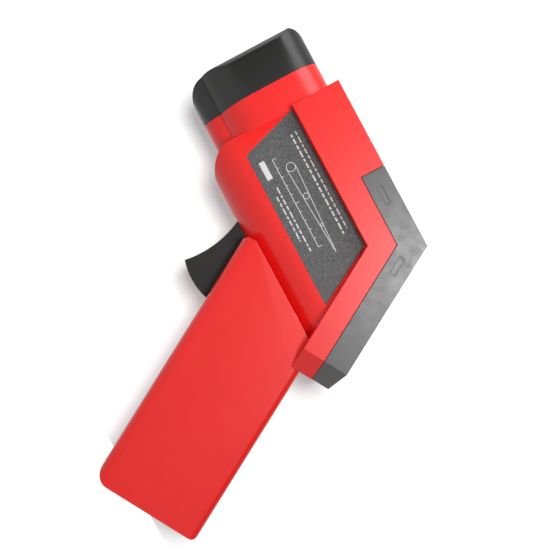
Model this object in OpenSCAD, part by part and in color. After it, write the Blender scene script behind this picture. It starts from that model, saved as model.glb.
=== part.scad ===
// Pistol-grip infrared thermometer with a laser pointer, a chevron display housing and a
// hinged battery door. Units are millimetres. X runs across the housing (the +X side is the
// user's left), Y runs from the nose to the back of the grip, and Z is up.

/* [Overall] */
// Angle between the grip and the vertical
rake = 30; // [24:1:34]
// Width of the barrel between its flat sides
barrel_w = 32; // [28:0.5:38]
// Height of the barrel
barrel_h = 45.4; // [40:0.2:50]
// Distance from the nose to the point where the grip's front meets the barrel's underside
grip_at = 50.3; // [46:0.1:58]
// Length of the grip's front below the barrel
grip_len = 87.6; // [84:0.2:106]
// Depth of the grip from front to back
grip_depth = 36.6; // [32:0.2:42]
// Width of the grip
grip_w = 30; // [28:0.5:36]
// Wall of the moulded shells
wall = 2; // [1.6:0.1:2.6]

/* [Nose] */
// Length of the black nose cap
cap_len = 13.2; // [11:0.2:18]
// Distance from the nose to the barrel's shoulder
shoulder_at = 22; // [20:0.2:26]
// How much narrower the nose is than the barrel, on each side
nose_step = 0.5; // [0.2:0.1:1.5]
// Corner radius at the top of the nose
nose_top_r = 9; // [6:0.5:12]
// Corner radius at the bottom of the nose's upper lobe
nose_low_r = 13; // [9:0.5:14]
// Height of the upper lobe's lower edge above the barrel's underside
lobe_z = 9.5; // [8:0.1:11]
// Height of the lower lobe's bottom above the barrel's underside
laser_lobe_z = 5.3; // [4:0.1:7]
// Width of the lower lobe, which holds the laser
laser_lobe_w = 18; // [16:0.5:22]

/* [Band] */
// Width across the raised band
band_w = 40; // [38:0.5:46]
// Height of the band's top above the barrel's top
band_rise = 1.9; // [1:0.1:4]
// Height of the band's upper leg
band_leg_h = 15.8; // [14:0.2:20]
// Thickness of the band's rear leg
band_leg_d = 15.2; // [14:0.2:20]
// How far the band stands behind the back of the grip
band_back = 12; // [10:0.2:14]
// Distance from the nose to the band's front
band_front = 22.5; // [21:0.1:28]
// Length of the straight rear leg, from the bend's outer corner
rear_leg_len = 45.8; // [44:0.2:56]
// Length of the tapered end of the rear leg
taper_len = 7; // [4:0.5:9]
// Depth of the taper at each side
taper_in = 5; // [3:0.5:6]

/* [Display] */
// Thickness of the black display frame, seen from the side
frame_d = 7.9; // [7:0.1:9.5]
// Distance from the nose to the start of the display frame
frame_at = 51.5; // [44:0.5:60]
// Width of the viewing window
window_w = 27; // [22:0.5:30]
// Height of the viewing window
window_h = 24; // [20:0.5:27]
// Diameter of a push button
button_d = 7; // [5:0.2:8]
// Distance between neighbouring push buttons
button_pitch = 10.5; // [10:0.1:12]
// Travel of a push button
button_travel = 0.5; // [0.2:0.1:0.6]

/* [Optics] */
// Diameter of the infrared lens
lens_d = 17; // [12:0.5:18]
// Diameter of the laser module
laser_d = 6; // [5:0.2:6.5]
// Diameter of the thermopile's can
sensor_d = 9.2; // [8:0.1:10]

/* [Trigger] */
// Width of the trigger
trigger_w = 12; // [8:0.5:14]
// Length of the trigger from its pivot to its tip
trigger_r = 21.3; // [18:0.1:22]
// Radius of the hollow in the trigger's front
finger_r = 33; // [25:1:60]
// Diameter of the trigger's pin
trigger_pin_d = 3; // [2:0.1:3.4]
// Angle the trigger turns when it is pulled
trigger_swing = 8; // [4:1:8]

/* [Battery] */
// Diameter of an AAA cell
cell_d = 10.5; // [10:0.1:10.8]
// Length of an AAA cell with its cap
cell_len = 44.5; // [43.5:0.1:44.5]
// Thickness of the battery door
door_t = 1.8; // [1.4:0.1:2.2]

/* [Fits] */
// Gap between a moulded part and the shell around it
gap = 0.15; // [0.1:0.01:0.3]
// Radial clearance of a pin that turns
run_clear = 0.05; // [0.02:0.01:0.09]
// Gap around a part that moves
move_gap = 0.3; // [0.2:0.05:0.5]

/* [Hidden] */

eps = 0.01;
round_fn = 48;
corner_steps = 9;
far = 300;

// Colours
red = [0.84, 0.11, 0.10];
black = [0.09, 0.09, 0.08];
dark = [0.16, 0.16, 0.16];
steel = [0.72, 0.72, 0.74];
brass = [0.78, 0.62, 0.32];
board_green = [0.10, 0.36, 0.20];

// Section of the nose and barrel
nose_w = barrel_w - 2 * nose_step;
barrel_low_r = 12.5;
barrel_top_r = 8;
laser_lobe_r = 6.5;
shoulder_r = 11.5;
shoulder_side_r = 2.5;
cap_top_r = 4.5;
cap_low_r = 7;
cap_side_r = 3;

// Grip frame: n runs from the grip's front to its back and t runs up along the grip.
function to_side(n, t) = [n * cos(rake) - t * sin(rake), n * sin(rake) + t * cos(rake)];
function n_of(p) = p[0] * cos(rake) + p[1] * sin(rake);
function t_of(p) = -p[0] * sin(rake) + p[1] * cos(rake);
grip_n = grip_at * cos(rake);
grip_back_n = grip_n + grip_depth;
grip_bottom_t = t_of([grip_at, 0]) - grip_len;
grip_front_r = 4;
grip_back_r = 2;
heel_r = 2;
toe_r = 5;
shelf_z = 2.7;

// Band
band_top_z = barrel_h + band_rise;
band_low_z = band_top_z - band_leg_h;
band_n = grip_back_n + band_back;
band_in_n = band_n - band_leg_d;
frame_n = band_n - frame_d;
frame_z = band_top_z - frame_d;
function on_band(z, n) = [(n - z * sin(rake)) / cos(rake), z];
bend_out = on_band(band_top_z, band_n);
taper_t = t_of(bend_out) - rear_leg_len;
band_end_t = taper_t - taper_len;
taper_back = 2;

// Display
panel_sink = 0.8;
sink_mark = 0.1;
panel_n = band_n - panel_sink;
panel_x = band_w / 2 - 2.6;
panel_high_t = t_of(bend_out) - 3;
panel_low_t = taper_t + 1.5;
window_t = 1.2;
window_ledge = 1.5;
window_mid_t = panel_high_t - 1.6 - window_h / 2;
button_t = panel_low_t + 1.6 + button_d / 2;
button_proud = panel_sink - 0.15;
button_flange_t = 1;
button_flange_w = 0.9;
frame_in_n = band_n - wall;
board_t = 1.6;
board_w = band_w - 2 * wall - 4.2;
board_n = frame_in_n - 9.2;
key_h = 1.8;
board_high_t = t_of(on_band(frame_z - 1.5, board_n));
board_low_t = button_t - button_d / 2 - 1.2;
glass_t = 2;
glass_n = panel_n - window_t - 1.4 - glass_t;
glass_margin = 0.4;
strip_d = 2;
post_r = 2;
post_x = board_w / 2 - post_r + 1.2;
post_low_t = (window_mid_t - window_h / 2 + button_t + button_d / 2) / 2 - 0.1;
post_high_t = window_mid_t + window_h / 2 - 7;
switch_top_n = frame_in_n - 4.6;

// Optics
lens_z = (lobe_z + barrel_h) / 2 + 1;
laser_z = laser_lobe_z + laser_lobe_w / 2 - 2.8;
tube_wall = 1.8;
tube_r = lens_d / 2 + tube_wall;
cap_face_t = 3;
lens_t = 1.6;
ring_t = 1.6;
tube_front = cap_face_t + gap;
ring_front = tube_front + 1.2;
lens_front = ring_front + ring_t;
tube_len = 24;
sensor_len = 4.2;
sensor_board_t = 1.4;
sensor_at = tube_front + tube_len;
laser_len = 16.5;
spigot_len = 4;
sleeve_len = 6;
clamp_at = cap_len + spigot_len + move_gap;
laser_front = cap_face_t + 1.4;

// Trigger
pivot_side = [grip_at + 3.7, 0.3];
pivot_n = n_of(pivot_side);
pivot_t = t_of(pivot_side);
slot_w = trigger_w + 2 * move_gap;
hub_r = trigger_pin_d / 2 + 1.5;
pivot_boss_wall = 0.8;
pivot_boss_x = grip_w / 2 - 1.6;
trigger_top_z = 2.3;
trigger_lean = -17.3;
trigger_tip = pivot_side + trigger_r * [sin(trigger_lean), -cos(trigger_lean)];
trigger_crown = [pivot_side[0] - 10.3, trigger_top_z];
trigger_back_a = 29;
spring_n = pivot_n + 9.4;
spring_wall_t = 1.6;
spring_t = pivot_t - 12.5;
spring_r = 2.2;
spring_wire_r = 0.35;
spring_turns = 5;
spring_end_gap = 0.05;
spring_front = pivot_n + 0.9;
switch_t = pivot_t - 18.5;
switch_h = 4;
back_tilt = 1.7;
switch_tip_n = pivot_n + (pivot_t - switch_t) * tan(trigger_swing + trigger_back_a - rake + back_tilt)
  + move_gap;

// Battery bay and door
door_in_n = grip_n + door_t;
hinge_r = door_t - 0.05;
hinge_n = grip_n + hinge_r;
hinge_t = grip_bottom_t + 6.55;
door_high_t = pivot_t - trigger_r - 3.4;
hinge_lug_w = 5;
hinge_boss_wall = 0.65;
door_w = grip_w - 7.2;
door_pin_d = 1.9;
door_pin_seat = 1.5;
cell_n = hinge_n + hinge_r + move_gap + cell_d / 2;
cell_pitch = cell_d + 0.7;
cell_low_t = grip_bottom_t + wall + 4.6;
cell_cap_len = 0.9;
cell_spring_r = 2.6;
cell_spring_wire_r = 0.25;
cell_spring_turns = 3;
tray_t = 1.4;
tray_n = cell_n + cell_d / 2 + 0.25;
tray_high_t = cell_low_t + cell_len + 2.6;
tray_low_t = grip_bottom_t + wall + gap;
tray_w = grip_w - 2 * wall - 2 * gap;
tray_floor_t = 1.2;
tray_roof_t = 1.5;
plate_t = 0.5;

// Shell screws, as [distance from the nose, height] of each boss
boss_r = 3.2;
screw_r = 1.2;
screw_head_r = 2.3;
screw_head_t = 1.7;
screw_seat = 5;
screw_len = 13;
screw_side_n = grip_back_n - wall - boss_r + 0.6;
screw_points = [
  [shoulder_at + 12, 6.8],
  [band_front + 7, band_top_z - wall - boss_r + 0.4],
  [frame_at - boss_r - 0.6, band_top_z - wall - boss_r + 0.4],
  to_side(screw_side_n, taper_t - taper_len - 8),
  to_side(screw_side_n - 3, grip_bottom_t + wall + boss_r - 0.6)
];

// Label
label_t = 0.3;
label_sink = 0.25;
label_high_z = band_low_z - 0.3;
label_low_z = barrel_low_r - 0.3;
label_front = shoulder_at + 1.2;
label_slant = 5.7;

// Place of the whole model: its lowest point is at zero and its ends are equally far from Y = 0.
toe_mid = to_side(grip_n + toe_r, grip_bottom_t + toe_r);
heel_mid = to_side(grip_back_n - heel_r, grip_bottom_t + heel_r);
place_z = toe_r - toe_mid[1];
place_y = -(heel_mid[0] + heel_r) / 2;

// ---------- helpers ----------

function arc(mid, r, a0, a1, steps = corner_steps) =
  [for (i = [0:steps]) mid + r * [cos(a0 + (a1 - a0) * i / steps), sin(a0 + (a1 - a0) * i / steps)]];

// Rectangle with one radius at its lower corners and another at its upper corners
function rounded(half_w, low, high, r_low, r_high) = concat(
  arc([half_w - r_low, low + r_low], r_low, -90, 0),
  arc([half_w - r_high, high - r_high], r_high, 0, 90),
  arc([r_high - half_w, high - r_high], r_high, 90, 180),
  arc([r_low - half_w, low + r_low], r_low, 180, 270)
);

module body_frame() { translate([0, place_y, place_z]) children(); }
module grip_frame() { body_frame() rotate([rake, 0, 0]) children(); }

// An outline in the side view, given width w across X
module side_plate(w, points) {
  rotate([90, 0, 90])
    linear_extrude(w, center = true)
      polygon(points);
}

// A section across the barrel, drawn as [x, z], from y = a to y = b
module along_y(a, b) {
  translate([0, b, 0]) rotate([90, 0, 0]) linear_extrude(b - a) children();
}

// A rod along X, Y (or the grip's n) or Z, centred on its other two coordinates
module rod_x(x0, x1, y, z, r) {
  translate([x0, y, z]) rotate([0, 90, 0]) cylinder(h = x1 - x0, r = r, $fn = round_fn);
}
module rod_y(x, y0, y1, z, r) {
  translate([x, y1, z]) rotate([90, 0, 0]) cylinder(h = y1 - y0, r = r, $fn = round_fn);
}
module block(x0, x1, y0, y1, z0, z1) {
  translate([x0, y0, z0]) cube([x1 - x0, y1 - y0, z1 - z0]);
}
module block_x(half_w, y0, y1, z0, z1) { block(-half_w, half_w, y0, y1, z0, z1); }

// A round wire along a path of points
function unit(v) = v / norm(v);
function side_axis(d, up) = unit(cross(d, up));
function steady_axis(d) = abs(d[0]) < 0.9 ? [1, 0, 0] : [0, 1, 0];
module wire(path, r, sides = 8, up = undef) {
  last = len(path) - 1;
  dirs = [for (i = [0:last]) unit(path[min(i + 1, last)] - path[max(i - 1, 0)])];
  ring_points = [
    for (i = [0:last], j = [0:sides - 1])
      let (
        u = side_axis(dirs[i], is_undef(up) ? steady_axis(dirs[i]) : up),
        v = cross(dirs[i], u),
        a = 360 * j / sides
      )
        path[i] + r * (u * cos(a) + v * sin(a))
  ];
  walls = [
    for (i = [0:last - 1], j = [0:sides - 1])
      let (k = (j + 1) % sides, here = i * sides, next = here + sides)
        each [[here + j, here + k, next + k], [here + j, next + k, next + j]]
  ];
  caps = [
    [for (j = [sides - 1:-1:0]) j],
    [for (j = [0:sides - 1]) last * sides + j]
  ];
  polyhedron(ring_points, concat(walls, caps), convexity = 6);
}

// A coil spring along Y, with one close turn at each end
module coil(r, wire_r, turns, length) {
  per_turn = 16;
  steps = per_turn * turns;
  close_rise = 2.3 * wire_r;
  open_rise = length - 2 * wire_r - 2 * close_rise;
  wire([for (i = [0:steps])
    let (
      a = 360 * i / per_turn,
      low_end = min(i, per_turn) / per_turn,
      open_part = min(1, max(0, (i - per_turn) / (steps - 2 * per_turn))),
      high_end = max(0, i - steps + per_turn) / per_turn
    )
      [r * cos(a), wire_r + close_rise * (low_end + high_end) + open_rise * open_part, r * sin(a)]
  ], wire_r, 8, [0, 1, 0]);
}

// ---------- outer form ----------

module nose_section(inset = 0) {
  polygon(rounded(nose_w / 2 - inset, lobe_z + inset, barrel_h - inset,
                  nose_low_r - inset, nose_top_r - inset));
  polygon(rounded(laser_lobe_w / 2 - inset, laser_lobe_z + inset, lens_z,
                  laser_lobe_r - inset, 1));
}

module barrel_section(inset = 0) {
  polygon(rounded(barrel_w / 2 - inset, inset, barrel_h - inset,
                  barrel_low_r - inset, barrel_top_r - inset));
}

// Barrel with its rounded shoulder, cut off inside the band's rear leg
module barrel_form(inset = 0) {
  front = shoulder_at + inset;
  intersection() {
    along_y(front, far) barrel_section(inset);
    side_plate(far, concat(
      arc([front + shoulder_r - inset, shoulder_r], shoulder_r - inset, 270, 180),
      [[front, barrel_h], to_side(frame_n, t_of([front, 2 * barrel_h]))],
      [to_side(frame_n - 1, band_end_t + 12), to_side(frame_n - 6, taper_t), [front + shoulder_r, inset]]
    ));
    linear_extrude(far, center = true)
      polygon(concat(
        arc([barrel_w / 2 - inset - shoulder_side_r, front + shoulder_side_r], shoulder_side_r, -90, 0, 4),
        [[barrel_w / 2, far], [-barrel_w / 2, far]],
        arc([shoulder_side_r + inset - barrel_w / 2, front + shoulder_side_r], shoulder_side_r, 180, 270, 4)
      ));
  }
}

// Outline of the whole band in the side view, with its tapered end squared off
function band_outline(inset = 0) = [
  [band_front + inset, band_low_z + inset],
  [band_front + inset, band_top_z - inset],
  on_band(band_top_z - inset, band_n - inset),
  to_side(band_n - inset, taper_t),
  to_side(band_n - taper_back - inset, band_end_t + inset),
  to_side(band_in_n + inset, band_end_t + inset),
  on_band(band_low_z + inset, band_in_n + inset)
];

// Solid that trims the band's width and its tapered end
module band_width(inset = 0) {
  half = band_w / 2 - inset;
  rotate([rake, 0, 0])
    translate([0, far, 0])
      rotate([90, 0, 0])
        linear_extrude(2 * far)
          polygon([
            [half, far], [half, taper_t], [half - taper_in, band_end_t - eps],
            [taper_in - half, band_end_t - eps], [-half, taper_t], [-half, far]
          ]);
}

module band_form(inset = 0) {
  intersection() {
    side_plate(band_w - 2 * inset, band_outline(inset));
    band_width(inset);
  }
}

// Outline of the display frame's share of the band in the side view
function frame_outline(shift = 0) = [
  [frame_at + shift, frame_z + shift],
  [frame_at + shift, far],
  [far, far],
  to_side(far, -far),
  to_side(frame_n + shift, -far),
  on_band(frame_z + shift, frame_n + shift)
];

// Radius left at a corner whose faces have moved in
function inner_r(r, inset) = max(r - inset, 0.4);

function grip_outline(inset = 0) = let (
  toe = inner_r(toe_r, inset),
  heel = inner_r(heel_r, inset),
  low = grip_bottom_t + inset,
  top = shelf_z - inset
) concat(
  arc(to_side(grip_n + inset + toe, low + toe), toe, rake + 180, rake + 270, 8),
  arc(to_side(grip_back_n - inset - heel, low + heel), heel, rake - 90, rake, 4),
  [to_side(grip_back_n - inset, taper_t)],
  [[to_side(grip_back_n - inset, taper_t)[0] - 2, top]],
  [[grip_at + 3.2 + inset, top], [grip_at + 0.9 + inset, top - 1.4]],
  [to_side(grip_n + inset, t_of([grip_at, 0]) - 0.6 - inset)]
);

function grip_section(inset = 0) = let (
  half = grip_w / 2 - inset,
  front = inner_r(grip_front_r, inset),
  back = inner_r(grip_back_r, inset),
  n0 = grip_n + inset,
  n1 = grip_back_n - inset
) concat(
  arc([half - front, n0 + front], front, -90, 0, 6),
  arc([half - back, n1 - back], back, 0, 90, 4),
  arc([back - half, n1 - back], back, 90, 180, 4),
  arc([front - half, n0 + front], front, 180, 270, 6)
);

module grip_form(inset = 0) {
  intersection() {
    side_plate(grip_w - 2 * inset, grip_outline(inset));
    rotate([rake, 0, 0]) translate([0, 0, -far]) linear_extrude(2 * far) polygon(grip_section(inset));
  }
}

module housing_outside() {
  difference() {
    union() {
      along_y(cap_len, shoulder_at + 6) nose_section();
      barrel_form();
      grip_form();
      band_form();
    }
    side_plate(far, frame_outline());
  }
}

// Hollow of the barrel and nose
module barrel_hollow() {
  along_y(cap_len - 1, shoulder_at + wall + 5) nose_section(wall);
  intersection() {
    barrel_form(wall);
    side_plate(far, [[0, -1], [0, far], [far, far], [far, -1]]);
  }
}

// Hollow of the band, open where the display frame covers it
module band_hollow() {
  inner_low = taper_t + 4;
  intersection() {
    side_plate(band_w - 2 * wall, [
      [band_front + wall, band_low_z + wall],
      [band_front + wall, band_top_z - wall],
      [frame_at - wall - 3, band_top_z - wall],
      [frame_at - wall - 3, frame_z - wall],
      [frame_at + 3, frame_z - wall],
      [frame_at + 3, far],
      to_side(far, inner_low - 60),
      to_side(grip_back_n + 1, band_end_t + wall),
      to_side(band_in_n + wall, taper_t - 1),
      on_band(band_low_z + wall, band_in_n + wall)
    ]);
    band_width(wall);
    rotate([rake, 0, 0]) block_x(far, -far, far, band_end_t + wall, far);
  }
}

// Hollow of the grip, with its ways through to the barrel and to the band
module grip_hollow() {
  grip_form(wall);
  block_x(barrel_w / 2 - barrel_low_r + 4.8, grip_at + 4.5, grip_at + grip_depth, -4, shelf_z + 5);
  rotate([rake, 0, 0])
    block_x(grip_w / 2 - wall - 1, band_in_n + 0.7, grip_back_n + 1.5,
            band_end_t + wall + 0.4, taper_t + 20);
}

// ---------- shells ----------

module trigger_slot() {
  rotate([90, 0, 90])
    linear_extrude(slot_w, center = true)
      polygon(concat(
        [[trigger_crown[0] - 0.8, wall + 1], [trigger_crown[0] - 0.8, -1.2], [grip_at - 6, -24]],
        arc(pivot_side, trigger_r + move_gap, 254, 270 + trigger_back_a + trigger_swing + 3, 12),
        [[pivot_side[0] + 7, wall + 1]]
      ));
}

module hinge_cut() {
  rotate([rake, 0, 0])
    rod_x(-door_w / 2 - gap, door_w / 2 + gap, hinge_n, hinge_t, hinge_r + 0.2);
}

module door_cut() {
  rotate([rake, 0, 0])
    {
      block_x(door_w / 2 + gap, grip_n - 3, door_in_n + gap, hinge_t, door_high_t + gap);
      block_x(door_w / 2 + gap, grip_n - 3, hinge_n, hinge_t - hinge_r - 0.2, hinge_t + 1);
    }
}

module tube_rib(at) {
  along_y(at, at + 1.6)
    difference() {
      intersection() {
        translate([0, 3]) square([far, 70], center = true);
        barrel_section(0.5);
      }
      translate([0, lens_z]) circle(r = tube_r + 0.1, $fn = round_fn);
      translate([0, laser_z]) square([laser_d + 5, laser_d + 3], center = true);
      translate([0, barrel_h]) square([8, 12], center = true);
    }
}

module shell_ribs() {
  intersection() {
    tube_rib(shoulder_at + 2.6);
    barrel_form(0.5);
  }
  rotate([rake, 0, 0]) {
    // Seat of the trigger's spring and switch
    block_x(grip_w / 2 - 0.5, spring_n, spring_n + spring_wall_t, switch_t - 3, spring_t + 4);
    // Rests of the battery tray
    for (t = [tray_low_t + 9, tray_high_t - 9])
      block_x(grip_w / 2 - 0.5, tray_n + tray_t + gap, tray_n + tray_t + gap + 3, t, t + 1.6);
  }
}

module boss(p, x0, x1, r) { rod_x(x0, x1, p[0], p[1], r); }

// Side of the housing at a screw, as a distance from the middle
function side_at(p) = p[1] > band_low_z + 2 ? band_w / 2 : (p[1] > 0 ? barrel_w / 2 - 4 : grip_w / 2);

// Shells before they are parted: skin, ribs, bosses, and the lug and side seats of the door's hinge
module shells_whole() {
  difference() {
    housing_outside();
    barrel_hollow();
    band_hollow();
    grip_hollow();
    trigger_slot();
    hinge_cut();
    door_cut();
    label_cut();
  }
  shell_ribs();
  for (s = [-1, 1])
    rod_x(min(s * slot_w / 2, s * pivot_boss_x), max(s * slot_w / 2, s * pivot_boss_x),
          pivot_side[0], pivot_side[1], trigger_pin_d / 2 + pivot_boss_wall);
  for (p = screw_points)
    boss(p, -side_at(p) + 1, side_at(p) - 1, boss_r);
  rotate([rake, 0, 0]) {
    rod_x(-hinge_lug_w / 2, hinge_lug_w / 2, hinge_n, hinge_t, hinge_r - 0.05);
    block_x(hinge_lug_w / 2, hinge_n + 0.3, hinge_n + 2.3, grip_bottom_t + 1.5, hinge_t);
  }
  intersection() {
    grip_form(0.4);
    rotate([rake, 0, 0])
      difference() {
        rod_x(-grip_w / 2, grip_w / 2, hinge_n, hinge_t, hinge_r + hinge_boss_wall);
        rod_x(-door_w / 2 - 0.25, door_w / 2 + 0.25, hinge_n, hinge_t, 2 * hinge_r);
      }
  }
}

module shell_half(side) {
  outer = side * far;
  difference() {
    intersection() {
      shells_whole();
      block(min(0, outer), max(0, outer), -far, far, -far, far);
    }
    rod_x(-pivot_boss_x - 1, pivot_boss_x + 1, pivot_side[0], pivot_side[1],
          trigger_pin_d / 2 + 0.02);
    rotate([rake, 0, 0])
      rod_x(-door_w / 2 - door_pin_seat - 0.2, door_w / 2 + door_pin_seat + 0.2,
            hinge_n, hinge_t, door_pin_d / 2 + 0.02);
    for (p = screw_points)
      if (side > 0) {
        boss(p, -1, screw_len - screw_seat + 1.5, screw_r + 0.05);
      } else {
        boss(p, -screw_seat - 0.5, 1, screw_r + 0.3);
        boss(p, -far, -screw_seat, screw_head_r + 0.4);
      }
  }
}

function label_outline(grow = 0) = [
  [label_front - grow, label_high_z + grow],
  [label_front + label_slant - grow, label_low_z + 0.8 - grow],
  [label_front + label_slant + 0.8 - grow, label_low_z - grow],
  on_band(label_low_z - grow, band_in_n - 1.1 + grow),
  on_band(label_high_z + grow, band_in_n - 0.6 + grow)
];

module label_cut() {
  for (s = [-1, 1])
    translate([s * (barrel_w / 2 + 5 - label_sink), 0, 0])
      side_plate(10, label_outline(0.1));
}

module label_plate(s) {
  body_frame()
    translate([s * (barrel_w / 2 - label_sink + label_t / 2), 0, 0])
      side_plate(label_t, label_outline());
}

module left_shell() { color(red) body_frame() shell_half(1); }
module right_shell() { color(red) body_frame() shell_half(-1); }
module left_label() { color(dark) label_plate(1); }
module right_label() { color(dark) label_plate(-1); }

// ---------- nose ----------

module nose_cap() {
  color(black)
    body_frame()
      difference() {
        union() {
          intersection() {
            along_y(0, cap_len) nose_section();
            side_plate(far, concat(
              arc([cap_low_r, laser_lobe_z + cap_low_r], cap_low_r, 270, 180),
              arc([cap_top_r, barrel_h - cap_top_r], cap_top_r, 180, 90),
              [[far, barrel_h], [far, laser_lobe_z]]
            ));
            linear_extrude(far)
              polygon(concat(
                arc([nose_w / 2 - cap_side_r, cap_side_r], cap_side_r, -90, 0, 6),
                [[nose_w / 2, far], [-nose_w / 2, far]],
                arc([cap_side_r - nose_w / 2, cap_side_r], cap_side_r, 180, 270, 6)
              ));
          }
          along_y(cap_len - 1, cap_len + spigot_len) nose_section(wall + gap);
        }
        along_y(cap_face_t, cap_len + 5)
          difference() {
            nose_section(wall + 1.5);
            translate([0, laser_z]) circle(r = laser_d / 2 + 1.4, $fn = round_fn);
          }
        along_y(cap_face_t + sleeve_len, cap_len + 5) translate([0, laser_z])
          circle(r = laser_d / 2 + 1.5, $fn = round_fn);
        rod_y(0, cap_face_t, cap_len + 5, laser_z, laser_d / 2 + 0.05);
        rod_y(0, -1, cap_face_t + 1, lens_z, lens_d / 2);
        translate([0, -eps, lens_z]) rotate([-90, 0, 0])
          cylinder(h = 1.4, r1 = lens_d / 2 + 1.4, r2 = lens_d / 2 - eps, $fn = round_fn);
        rod_y(0, -1, cap_face_t + 1, laser_z, laser_d / 2 - 1);
        rod_y(0, cap_face_t - 1, cap_face_t + 1, laser_z, laser_d / 2);
        rod_y(0, -1, 0.8, laser_z, laser_d / 2);
      }
}

module lens_tube() {
  color(dark)
    body_frame()
      difference() {
        rod_y(0, tube_front, sensor_at, lens_z, tube_r);
        rod_y(0, tube_front - 1, lens_front + lens_t, lens_z, lens_d / 2 + 0.05);
        rod_y(0, lens_front, sensor_at - 2.4, lens_z, lens_d / 2 - 0.9);
        rod_y(0, lens_front, sensor_at + 1, lens_z, sensor_d / 2 + 0.05);
      }
}

module ir_lens() {
  color([0.93, 0.93, 0.90])
    body_frame() rod_y(0, lens_front, lens_front + lens_t, lens_z, lens_d / 2);
}

module lens_ring() {
  color(black)
    body_frame()
      difference() {
        rod_y(0, ring_front, lens_front, lens_z, lens_d / 2);
        rod_y(0, ring_front - 1, lens_front + 1, lens_z, lens_d / 2 - 1.1);
      }
}

module thermopile() {
  color(steel)
    body_frame() {
      difference() {
        rod_y(0, sensor_at - sensor_len, sensor_at + 0.2, lens_z, sensor_d / 2);
        rod_y(0, sensor_at - sensor_len - 1, sensor_at - sensor_len + 0.5, lens_z, 1.6);
      }
      for (a = [45:90:315])
        rod_y(2.5 * cos(a), sensor_at, sensor_at + sensor_board_t + 1, lens_z + 2.5 * sin(a), 0.22);
    }
}

module sensor_board() {
  color(board_green)
    body_frame()
      difference() {
        translate([0, 0, lens_z])
          block_x(9.5, sensor_at + 0.2, sensor_at + 0.2 + sensor_board_t, -9, 9);
        for (a = [45:90:315])
          rod_y(2.5 * cos(a), sensor_at, sensor_at + 3, lens_z + 2.5 * sin(a), 0.25);
      }
}

module laser_module() {
  color(brass)
    body_frame() {
      difference() {
        rod_y(0, laser_front, laser_front + laser_len, laser_z, laser_d / 2);
        rod_y(0, laser_front - 1, laser_front + 1.5, laser_z, 1.2);
      }
      block_x(laser_d / 2 - 0.9, laser_front + laser_len - 0.5, laser_front + laser_len + 2,
              laser_z - 0.6, laser_z + 0.6);
    }
}

module laser_window() {
  color([0.6, 0.15, 0.15])
    body_frame() rod_y(0, cap_face_t - 1, cap_face_t, laser_z, laser_d / 2 - 0.05);
}

module laser_clamp() {
  color(black)
    body_frame()
      difference() {
        block_x(laser_d / 2 + 1.2, clamp_at, clamp_at + 3, laser_lobe_z + wall + 0.5,
                lens_z - tube_r - 0.1);
        rod_y(0, clamp_at - 1, clamp_at + 4, laser_z, laser_d / 2 + 0.05);
      }
}

// ---------- display ----------

module frame_solid() {
  intersection() {
    side_plate(band_w, band_outline());
    band_width();
    side_plate(far, frame_outline(gap));
    rotate([rake, 0, 0]) block_x(far, -far, far, band_end_t + gap, far);
  }
}

module frame_hollow() {
  intersection() {
    side_plate(band_w - 2 * wall, [
      [frame_at + gap + wall, frame_z - 5],
      [frame_at + gap + wall, band_top_z - wall],
      on_band(band_top_z - wall, frame_in_n),
      to_side(frame_in_n, taper_t),
      to_side(frame_in_n - taper_back, band_end_t + wall + gap),
      to_side(frame_n - 20, band_end_t + wall + gap)
    ]);
    band_width(wall);
  }
}

module button_hole(i) {
  rod_y(i * button_pitch, frame_in_n - 1, band_n + 1, button_t, button_d / 2 + 0.2);
}

module display_frame() {
  color(black)
    body_frame()
      difference() {
        union() {
          difference() {
            frame_solid();
            frame_hollow();
          }
          rotate([rake, 0, 0]) {
            // Tongues that locate the frame inside the shells
            for (s = [-1, 1])
              translate([s * (band_w / 2 - wall - gap - 0.7), 0, 0])
                block_x(0.7, frame_n - 3, frame_n + 3, taper_t + 2, board_high_t - 4);
            for (s = [-1, 1], t = [taper_t + 4, (taper_t + board_high_t) / 2, board_high_t - 6])
              translate([s * (band_w / 2 - wall - 0.7), 0, 0])
                block_x(1, frame_n + gap + 0.2, frame_n + 2.8, t, t + 2);
            for (s = [-1, 1], t = [post_low_t, post_high_t])
              rod_y(s * post_x, board_n + board_t, frame_in_n + 0.3, t, post_r);
          }
        }
        rotate([rake, 0, 0]) {
          block_x(panel_x, panel_n, band_n + 1, panel_low_t, panel_high_t);
          block_x(window_w / 2 + 0.05, panel_n - window_t, band_n,
                  window_mid_t - window_h / 2 - 0.05, window_mid_t + window_h / 2 + 0.05);
          block_x(window_w / 2 - window_ledge, frame_in_n - 2, band_n,
                  window_mid_t - window_h / 2 + window_ledge, window_mid_t + window_h / 2 - window_ledge);
          for (i = [-1:1]) button_hole(i);
          for (s = [-1, 1], t = [post_low_t, post_high_t])
            rod_y(s * post_x, board_n + board_t - 1, board_n + board_t + 6, t, 0.85);
          // Sink marks over the clips on both sides
          for (s = [-1, 1])
            translate([s * band_w / 2, 0, 0])
              block_x(sink_mark, frame_n + 2.6, frame_n + 4.4, t_of(bend_out) - 13, t_of(bend_out) - 7);
        }
        for (s = [-1, 1])
          translate([s * band_w / 2, 0, 0])
            block_x(sink_mark, frame_at + 5, frame_at + 11, frame_z + 2.8, frame_z + 4.4);
      }
}

module display_window() {
  color([0.12, 0.13, 0.13])
    grip_frame()
      block_x(window_w / 2, panel_n - window_t, panel_n,
              window_mid_t - window_h / 2, window_mid_t + window_h / 2);
}

module lcd_glass() {
  color([0.55, 0.60, 0.52])
    grip_frame()
      block_x(window_w / 2 - glass_margin, glass_n, glass_n + glass_t,
              window_mid_t - window_h / 2 + glass_margin, window_mid_t + window_h / 2 - glass_margin);
}

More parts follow.
